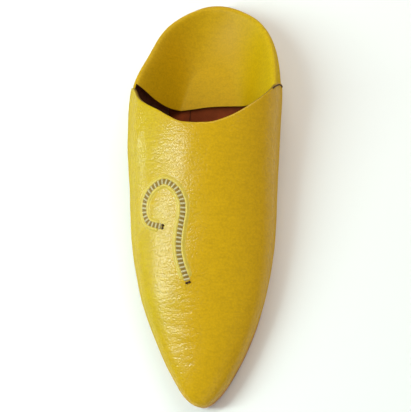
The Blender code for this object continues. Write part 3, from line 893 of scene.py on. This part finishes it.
def insole_leather(name, colour, shade_line_x):
    """Insole leather with a thin dark line of painted shade along it, standing for a shaded fold,
    at a distance from the middle.
    """
    material = plain_leather(name, colour, roughness=0.8, gloss=0.12, scale=90.0,
                             contrast=0.3, bump=0.3)
    tree = material.node_tree
    shader = tree.nodes["Principled BSDF"]
    dye = shader.inputs["Base Color"].links[0].from_node
    where = add(tree, "ShaderNodeTexCoord")
    parts = add(tree, "ShaderNodeSeparateXYZ", {"Vector": (where, "Object")})
    sway = add(tree, "ShaderNodeTexNoise", {"Vector": (where, "Object"), "Scale": 60.0})
    bend = add(tree, "ShaderNodeMath", {0: (sway, "Fac"), 1: 0.002, 2: -0.001 - shade_line_x},
               operation="MULTIPLY_ADD")
    off = add(tree, "ShaderNodeMath", {0: (parts, "X"), 1: (bend, "Value")}, operation="ADD")
    away = add(tree, "ShaderNodeMath", {0: (off, "Value")}, operation="ABSOLUTE")
    line = add(tree, "ShaderNodeMapRange", {"Value": (away, "Value"), "From Min": 0.0002,
                                            "From Max": 0.0006, "To Min": 0.75, "To Max": 0.0})
    # Painted shade: a nearly black line along the insole.
    mix = add(tree, "ShaderNodeMix", data_type="RGBA")
    tree.links.new(line.outputs["Result"], mix.inputs[0])
    tree.links.new(dye.outputs[2], mix.inputs[6])
    mix.inputs[7].default_value = (*tuple(c * 0.15 for c in colour), 1.0)
    tree.links.new(mix.outputs[2], shader.inputs["Base Color"])
    return material


def twisted_thread(name, colour, bands):
    """Linen thread: strands wound at a slant show as bands, with a low sheen."""
    material, tree, shader = blank_material(name)
    along = add(tree, "ShaderNodeUVMap", uv_map="UVMap")
    twist = add(tree, "ShaderNodeTexWave", {"Vector": (along, "UV"), "Scale": bands,
                                            "Distortion": 0.6}, bands_direction="DIAGONAL")
    mix = add(tree, "ShaderNodeMix", data_type="RGBA")
    tree.links.new(twist.outputs["Fac"], mix.inputs[0])
    mix.inputs[6].default_value = (*tuple(c * 0.7 for c in colour), 1.0)
    mix.inputs[7].default_value = (*tuple(min(1.0, c * 1.2) for c in colour), 1.0)
    tree.links.new(mix.outputs[2], shader.inputs["Base Color"])
    shader.inputs["Roughness"].default_value = 0.75
    shader.inputs["Specular IOR Level"].default_value = 0.25
    rise = add(tree, "ShaderNodeBump", {"Height": (twist, "Fac"), "Strength": 0.5,
                                        "Distance": 0.0002})
    tree.links.new(rise.outputs["Normal"], shader.inputs["Normal"])
    return material


def curve_through(points, count):
    """Points at even steps along a smooth line through given ones (a Catmull-Rom spline)."""
    p = np.vstack([2 * points[0] - points[1], points, 2 * points[-1] - points[-2]])
    t = np.linspace(0.0, len(points) - 1.0, 40 * len(points))
    i = np.clip(t.astype(int), 0, len(points) - 2)
    u = (t - i)[:, None]
    a, b, c, d = p[i], p[i + 1], p[i + 2], p[i + 3]
    fine = 0.5 * (2 * b + (c - a) * u + (2 * a - 5 * b + 4 * c - d) * u**2
                  + (3 * b - a - 3 * c + d) * u**3)
    run = np.concatenate([[0.0], np.cumsum(np.linalg.norm(np.diff(fine, axis=0), axis=1))])
    even = np.linspace(0.0, run[-1], count)
    return np.stack([np.interp(even, run, fine[:, k]) for k in range(points.shape[1])], axis=1)


def on_vamp(x, y):
    """Point of the vamp's folded face above a place in plan, and its outward normal."""
    step = 0.0004
    here = vamp_point(*vamp_at(x, y))
    east = vamp_point(*vamp_at(x + step, y)) - here
    north = vamp_point(*vamp_at(x, y + step)) - here
    normal = unit(np.cross(east, north))
    lift = (creases(x, y) + unevenness(x, y))[..., None]
    return here + normal * lift, normal


def scroll_frame(count):
    """Even stations along the scroll on the vamp: points, normals and sideways directions."""
    path = curve_through(np.array(SCROLL) * MILLIMETRE, count)
    point, normal = on_vamp(path[:, 0], path[:, 1])
    ahead = unit(np.gradient(point, axis=0))
    return point, normal, ahead, unit(np.cross(normal, ahead))


def scroll_length():
    """Length of the scroll, the sum of 399 straight steps."""
    point, _, _, _ = scroll_frame(400)
    return float(np.sum(np.linalg.norm(np.diff(point, axis=0), axis=1)))


def band_grid(sizes):
    """Leather band of the scroll: its profile, two low rims with a shallow bed between them,
    is carried along the path and sinks into the vamp at its sides and ends."""
    count = 260
    _, _, _, sideways = scroll_frame(count)
    path = curve_through(np.array(SCROLL) * MILLIMETRE, count)
    half = sizes.band_width / 2 + BAND_BORDER
    w = np.linspace(-1.0, 1.0, 31)
    off = (np.abs(w) * half - sizes.band_width / 2) / BAND_BORDER
    rim = (1.0 + np.cos(math.pi * np.clip(off, -1.0, 1.0))) / 2
    bed = np.exp(-((w * half / (sizes.band_width * BAND_BED_SHARE)) ** 4))
    profile = sizes.band_rim * rim - BAND_BED * bed
    end = np.clip(np.minimum(np.arange(count), np.arange(count)[::-1]) / 7.0, 0.0, 1.0)
    end = np.sin(end * math.pi / 2)
    flat = path[:, None, :] + sideways[:, None, :2] * (w * half)[None, :, None]
    point, normal = on_vamp(flat[..., 0], flat[..., 1])
    lift = profile[None, :] * end[:, None] - BAND_END_SINK * (1.0 - end[:, None])
    return point + normal * (lift - BAND_SIDE_SINK)[..., None]


def capsules(start, finish, outward, radius, rise):
    """Short threads from start to finish points, each a tube whose middle stands up by one
    minus a fourth power, and whose ends taper and dip into the leather."""
    along = np.linspace(0.0, 1.0, 11)
    around = np.linspace(0.0, 2 * math.pi, 9)
    axis = unit(finish - start)
    side = unit(np.cross(axis, outward))
    up = np.cross(side, axis)
    hump = 1.0 - (2 * along - 1) ** 4
    girth = radius * np.sqrt(np.clip(1.0 - np.abs(2 * along - 1) ** 5, 0.0, 1.0))
    centre = start[:, None, :] + (finish - start)[:, None, :] * along[None, :, None]
    centre = centre + up[:, None, :] * (hump * rise - radius * 0.3)[None, :, None]
    ring = (side[:, None, None, :] * np.cos(around)[None, None, :, None]
            + up[:, None, None, :] * np.sin(around)[None, None, :, None])
    return centre[:, :, None, :] + ring * girth[None, :, None, None]


def thread_mesh(name, tubes, turns):
    """Mesh of many short tubes, with a UV map that runs along and round each."""
    count, rows, cols = tubes.shape[:3]
    index = np.arange(count * rows * cols).reshape(count, rows, cols)
    quads = np.stack([index[:, :-1, :-1], index[:, 1:, :-1], index[:, 1:, 1:],
                      index[:, :-1, 1:]], axis=-1).reshape(-1, 4)
    mesh = bpy.data.meshes.new(name)
    mesh.from_pydata(tubes.reshape(-1, 3), [], quads)
    u = np.broadcast_to(np.linspace(0, 1, rows)[:, None], (count, rows, cols))
    v = np.broadcast_to(np.linspace(0, 1, cols)[None, :], (count, rows, cols))
    uv = np.stack([u * turns, v], axis=-1).reshape(-1, 2)
    layer = mesh.uv_layers.new(name="UVMap")
    loop = np.empty(len(mesh.loops), dtype=int)
    mesh.loops.foreach_get("vertex_index", loop)
    layer.data.foreach_set("uv", uv[loop].ravel())
    work = bmesh.new()
    work.from_mesh(mesh)
    bmesh.ops.remove_doubles(work, verts=work.verts[:], dist=0.000004)
    bmesh.ops.recalc_face_normals(work, faces=work.faces[:])
    work.to_mesh(mesh)
    work.free()
    mesh.polygons.foreach_set("use_smooth", [True] * len(mesh.polygons))
    mesh.update()
    return mesh


def scroll_threads(sizes):
    """Stitches across the scroll at an even pitch, and two small knots at each end, apart."""
    run = scroll_length()
    count = int(round(run / sizes.stitch_pitch))
    point, normal, ahead, sideways = scroll_frame(count + 1)
    reach = (sideways + ahead * STITCH_SLANT) * sizes.band_width * STITCH_SHARE
    bars = capsules(point - reach, point + reach, normal, sizes.thread / 2, STITCH_RISE)
    knots = []
    for k, way in ((0, -1.0), (-1, 1.0)):
        base = point[k] + ahead[k] * way * sizes.stitch_pitch * 0.8
        for off in (-KNOT_SPREAD, KNOT_SPREAD):
            a = base + sideways[k] * off - ahead[k] * KNOT_SPREAD
            b = base + sideways[k] * off * 1.6 + ahead[k] * 0.0009
            knots.append((a, b, normal[k]))
    start = np.array([k[0] for k in knots])
    finish = np.array([k[1] for k in knots])
    up = np.array([k[2] for k in knots])
    return bars, capsules(start, finish, up, sizes.thread * 0.55, KNOT_RISE)


def carried_cord(point, normal, sideways, half_width, half_height, lift):
    """One cord: an ellipse carried along points of a path, its middle lifted by a set height,
    that narrows to nothing at both ends."""
    girth = np.sqrt(1.0 - np.linspace(-1.0, 1.0, len(point)) ** 60)[:, None, None]
    turn = np.linspace(0.0, 2 * math.pi, 13)[None, :, None]
    ring = (sideways[:, None, :] * np.cos(turn) * half_width
            + normal[:, None, :] * (np.sin(turn) * half_height + lift))
    return (point[:, None, :] + ring * girth)[None]


def scroll_core(sizes):
    """Cord under the scroll's stitches, a little sunk in the leather."""
    point, normal, _, sideways = scroll_frame(220)
    return carried_cord(point, normal, sideways, sizes.band_width * CORD_SHARE,
                        CORD_HALF_HEIGHT, CORD_RISE)


def corner_tack(sizes):
    """Thread over the vamp's inner corner, along its edge: the path is given in the vamp's
    own two measures, and the normal is the cross product of its two slopes."""
    line = curve_through(np.array(TACK), 40)
    across, angle = line[:, 0], line[:, 1]
    point = vamp_point(across, angle)
    normal = unit(np.cross(vamp_point(across + 0.001, angle) - point,
                           vamp_point(across, angle + 0.05) - point))
    sideways = unit(np.cross(normal, np.gradient(point, axis=0)))
    return carried_cord(point, normal, sideways, sizes.tack / 2, sizes.tack / 2, TACK_RISE)


def sole_line(inset, count):
    """Even stations at an inset from the outsole's edge, from the outer waist round the toe
    to the inner waist, and the length of that line."""
    fine = np.linspace(-SOLE_LINE_END, SOLE_LINE_END, 900)
    side = np.where(fine < 0, -1.0, 1.0)
    angle = np.abs(fine)
    x, y = plan_edge(side, angle, foot_inset(side, angle, "sole") + inset)
    run = np.concatenate([[0.0], np.cumsum(np.hypot(np.diff(x), np.diff(y)))])
    even = np.linspace(0.0, run[-1], count)
    return np.interp(even, run, x), np.interp(even, run, y), run[-1]


def sole_threads(sizes):
    """Stitches that lie along the rim of the sole round the forefoot."""
    _, _, run = sole_line(SOLE_LINE_INSET, 10)
    count = int(run / sizes.sole_pitch)
    x, y, _ = sole_line(SOLE_LINE_INSET, count * 2 + 1)
    ahead_x, ahead_y = np.gradient(x), np.gradient(y)
    size = np.hypot(ahead_x, ahead_y)
    z = ground(y) + SOLE_THICKNESS
    point = np.stack([x, y, z], axis=-1)[1::2]
    ahead = np.stack([ahead_x / size, ahead_y / size, np.zeros_like(x)], axis=-1)[1::2]
    up = np.broadcast_to(np.array([0.0, 0.0, 1.0]), point.shape)
    half = ahead * sizes.sole_stitch / 2
    return capsules(point - half, point + half, up, sizes.sole_thread / 2, SOLE_STITCH_RISE)


def slab_grids(edge, bottom, thickness, rounding, rows, cols):
    """A layer cut to an outline: its side is a half ellipse between two faces."""
    angle = np.linspace(0.0, 180.0, rows)
    across = np.linspace(0.0, 1.0, cols)
    turn = np.linspace(-1.0, 1.0, 11) * math.pi / 2
    sheets = []
    for t in turn:
        inset = rounding * (1.0 - abs(math.cos(t)) ** 0.5)
        outer_x, y = edge(-1.0, angle, inset)
        inner_x, _ = edge(1.0, angle, inset)
        x = outer_x[:, None] + (inner_x - outer_x)[:, None] * across
        y = np.broadcast_to(y[:, None], x.shape)
        sheets.append(np.stack([x, y, bottom(y) + thickness * (1.0 + math.sin(t)) / 2],
                               axis=-1))
    loops = np.stack([np.concatenate([s[:, 0], s[::-1, -1]]) for s in sheets])
    return [loops, sheets[0], sheets[-1]]


def outsole_edge(side, angle, inset):
    """The outsole's outline lies inside the widest one by the table's inset."""
    side = side * np.ones_like(angle)
    return plan_edge(side, angle, foot_inset(side, angle, "sole") + inset)


def insole_edge(side, angle, inset):
    """The insole's outline lies just inside the upper's wall."""
    side = side * np.ones_like(angle)
    lap = np.clip((angle - INSOLE_STEP_FROM) / (MARGIN_ANGLE - INSOLE_STEP_FROM), 0.0, 1.0)
    wall = VAMP_WALL + GAP + lap * seam_step(angle)
    return plan_edge(side, angle, foot_inset(side, angle, "feather") + wall + inset)


class SLIPPER_OT_upper(bpy.types.Operator):
    """Vamp and quarter as sheets of goat leather with their folds"""

    bl_idname = "slipper.upper"
    bl_label = "Vamp and quarter"

    def execute(self, context):
        colours = context.scene.slipper_colours
        sizes = context.scene.slipper_sizes
        # The grained leather turns from lemon, painted light on the outer side, to ochre, painted
        # shade on the inner side.
        grained = goat_leather("glazed goat leather, grained", (colours.yellow, colours.ochre),
                               VAMP_PAINTED_LIGHT_TURN, sizes.grain, pressed=0.0)
        # The pressed heel turns from lemon, painted light on its inner wing, to deeper yellow,
        # painted shade in its bowl.
        flat = goat_leather("goat leather, pressed flat", (colours.heel, colours.heel_ochre),
                            HEEL_PAINTED_LIGHT_TURN, sizes.grain, pressed=0.75)
        lining = plain_leather("undyed flesh side of goat leather", colours.lining,
                               roughness=0.8, gloss=0.2, scale=220.0, contrast=0.25, bump=0.3)
        # The vamp's edge is brown dye, darkened as painted shade of the gap at the side seams.
        brown = plain_leather("brown-dyed leather edge", colours.dyed_edge_and_shade,
                              roughness=0.6, gloss=0.3, scale=400.0, contrast=0.2, bump=0.2)
        # The cut edge's dark brown is partly painted shade of the gap under the flap's free edge.
        pale = plain_leather("cut leather edge", colours.edge,
                             roughness=0.7, gloss=0.3, scale=400.0, contrast=0.2, bump=0.2)

        columns, rows = VAMP_GRID
        across = np.linspace(-1.0, 1.0, columns)
        outer = column(THROAT_COLUMNS, THROAT, "outer_end", np.abs(across))
        inner = column(THROAT_COLUMNS, THROAT, "inner_end", np.abs(across))
        end = np.where(across < 0, outer, inner)
        angle = np.linspace(0.0, 1.0, rows)[:, None] * end[None, :]
        grid = vamp_relief(np.broadcast_to(across, angle.shape), angle)
        mesh = mesh_of("vamp", [grid])
        facing(mesh, lambda c, n, a: np.sum((c - [0, 0, 0.02]) * n * a[:, None]))
        vamp = place("vamp", mesh, "yellow_goat_leather", "upper")
        leather_wall(vamp, VAMP_WALL, (grained, lining, brown))

        grids = quarter_grids(*QUARTER_GRID)
        finish = (0, 0, 1, 1, 2, 2, 2, 2, 2)
        mesh = mesh_of("quarter", grids, closed=True, finish=finish)
        for material in (flat, lining, pale):
            mesh.materials.append(material)
        mesh.set_sharp_from_angle(angle=math.radians(60.0))
        place("quarter", mesh, "yellow_goat_leather", "upper")
        return {"FINISHED"}


class SLIPPER_OT_bottom(bpy.types.Operator):
    """Outsole and insole"""

    bl_idname = "slipper.bottom"
    bl_label = "Outsole and insole"

    def execute(self, context):
        colours = context.scene.slipper_colours
        tan = plain_leather("vegetable-tanned sole leather", colours.sole,
                            roughness=0.5, gloss=0.4, scale=120.0, contrast=0.22, bump=0.25)
        brown = insole_leather("dyed sheep leather insole", colours.insole, INSOLE_SHADE_LINE_X)
        grids = slab_grids(outsole_edge, ground, SOLE_THICKNESS, OUTSOLE_ROUNDING, *LAYER_GRID)
        mesh = mesh_of("sole_layer", grids, closed=True)
        mesh.materials.append(tan)
        place("sole_layer", mesh, "sole_leather", "outsole")
        grids = slab_grids(insole_edge, feather_level, INSOLE_THICKNESS, INSOLE_ROUNDING,
                           *LAYER_GRID)
        mesh = mesh_of("insole_layer", grids, closed=True)
        mesh.materials.append(brown)
        place("insole_layer", mesh, "insole_leather", "insole")
        return {"FINISHED"}


class SLIPPER_OT_sewing(bpy.types.Operator):
    """Scroll and tack of the vamp, and stitches of the sole"""

    bl_idname = "slipper.sewing"
    bl_label = "Scroll and stitches"

    def execute(self, context):
        colours = context.scene.slipper_colours
        sizes = context.scene.slipper_sizes
        band = mesh_of("scroll_band", [band_grid(sizes)])
        facing(band, lambda c, n, a: np.sum(n[:, 2] * a))
        piece = place("scroll_band", band, "yellow_goat_leather")
        # Painted highlight: the band's paler yellow stands for the light caught by its raised
        # rims.
        piece.data.materials.append(goat_leather(
            "goat leather, drawn up and rubbed", (colours.rim, colours.rim), VAMP_PAINTED_LIGHT_TURN,
            sizes.grain, pressed=0.2))
        waxed = twisted_thread("waxed linen thread, brown", colours.sole_thread, bands=2.0)
        cord = twisted_thread("linen cord, brown", colours.cord, bands=90.0)
        linen = twisted_thread("raw linen thread, pale", colours.thread, bands=3.0)
        bars, knots = scroll_threads(sizes)
        for name, tubes, turns, material, slot in (
                ("scroll_core", scroll_core(sizes), 1.0, cord, "yellow_goat_leather"),
                ("scroll_threads", bars, 3.0, linen, "yellow_goat_leather"),
                ("scroll_knots", knots, 1.0, waxed, "yellow_goat_leather"),
                ("corner_tack", corner_tack(sizes), 12.0, waxed, "yellow_goat_leather"),
                ("sole_threads", sole_threads(sizes), 2.0, waxed, "sole_leather")):
            mesh = thread_mesh(name, tubes, turns)
            mesh.materials.append(material)
            place(name, mesh, slot)
        return {"FINISHED"}


def softbox(name, at, towards, size, power, colour):
    """A rectangular area light that looks at a point."""
    data = bpy.data.lights.new(name, "AREA")
    data.shape = "RECTANGLE"
    data.size, data.size_y = size
    data.energy = power
    data.color = colour
    lamp = bpy.data.objects.new(name, data)
    lamp.location = at
    lamp.rotation_euler = (Vector(towards) - Vector(at)).to_track_quat("-Z", "Y").to_euler()
    bpy.context.scene.collection.objects.link(lamp)


class SLIPPER_OT_studio(bpy.types.Operator):
    """Pale floor, soft lights and the camera"""

    bl_idname = "slipper.studio"
    bl_label = "Studio"

    def execute(self, context):
        scene = context.scene
        colours = scene.slipper_colours
        studio = scene.slipper_studio
        mesh = mesh_of("floor", [floor_grid(FLOOR_SIZE)])
        facing(mesh, lambda c, n, a: np.sum(n[:, 2] * a))
        floor = bpy.data.objects.new("floor", mesh)
        scene.collection.objects.link(floor)
        # Studio paper: a nearly white ground with no gloss, which takes only soft shadows.
        material, _, shader = blank_material("matt studio paper")
        shader.inputs["Base Color"].default_value = (*colours.floor, 1.0)
        shader.inputs["Roughness"].default_value = 0.9
        mesh.materials.append(material)
        for name, at, size, tint in LIGHTS:
            softbox(name, at, LIGHT_AIM, size, getattr(studio, name), tint)
        world = bpy.data.worlds.new("studio")
        world.use_nodes = True
        world.node_tree.nodes["Background"].inputs["Color"].default_value = (1, 1, 1, 1)
        world.node_tree.nodes["Background"].inputs["Strength"].default_value = ROOM_LIGHT
        scene.world = world
        scene.view_settings.view_transform = "Standard"
        scene.camera = photo_camera(scene, studio)
        return {"FINISHED"}


def floor_grid(size):
    """A flat square round the origin."""
    line = np.linspace(-size / 2, size / 2, 3)
    x, y = np.meshgrid(line, line)
    return np.stack([x, y, np.zeros_like(x)], axis=-1)


def photo_camera(scene, studio):
    """Camera over the instep: it leans to the toe and to the inner side, and is rolled so
    that the slipper stands upright in the picture."""
    data = bpy.data.cameras.new("camera")
    data.lens = studio.lens
    data.sensor_width = 36.0
    data.shift_x, data.shift_y = CAMERA_SHIFT
    back = Vector(CAMERA_BACK).normalized()
    right = Vector(CAMERA_RIGHT).normalized()
    axes = Matrix((right, back.cross(right), back)).transposed()
    camera = bpy.data.objects.new("camera", data)
    camera.matrix_world = Matrix.Translation(CAMERA_AT) @ axes.to_4x4()
    scene.collection.objects.link(camera)
    return camera


class SLIPPER_PT_panel(bpy.types.Panel):
    """Sizes, colours and the steps that build the slipper"""

    bl_label = "Slipper"
    bl_idname = "SLIPPER_PT_panel"
    bl_space_type = "VIEW_3D"
    bl_region_type = "UI"
    bl_category = "Slipper"

    def draw(self, context):
        layout = self.layout
        for group in (context.scene.slipper_sizes, context.scene.slipper_colours,
                      context.scene.slipper_studio):
            box = layout.box()
            for key in group.bl_rna.properties.keys():
                if key not in ("rna_type", "name"):
                    box.prop(group, key)
        for operator in OPERATORS:
            layout.operator(operator.bl_idname)


OPERATORS = (SLIPPER_OT_upper, SLIPPER_OT_bottom, SLIPPER_OT_sewing, SLIPPER_OT_studio)
CLASSES = (SlipperSizes, SlipperColours, StudioSettings) + OPERATORS + (SLIPPER_PT_panel,)


def register():
    """Register the classes and give the scene its settings."""
    for item in CLASSES:
        bpy.utils.register_class(item)
    bpy.types.Scene.slipper_sizes = PointerProperty(type=SlipperSizes)
    bpy.types.Scene.slipper_colours = PointerProperty(type=SlipperColours)
    bpy.types.Scene.slipper_studio = PointerProperty(type=StudioSettings)


def unregister():
    """Take the settings and the classes away again."""
    del bpy.types.Scene.slipper_studio
    del bpy.types.Scene.slipper_colours
    del bpy.types.Scene.slipper_sizes
    for item in reversed(CLASSES):
        bpy.utils.unregister_class(item)


def main():
    """Build the slipper and the studio."""
    register()
    bpy.ops.slipper.upper()
    bpy.ops.slipper.bottom()
    bpy.ops.slipper.sewing()
    bpy.ops.slipper.studio()


if __name__ == "__main__":
    main()
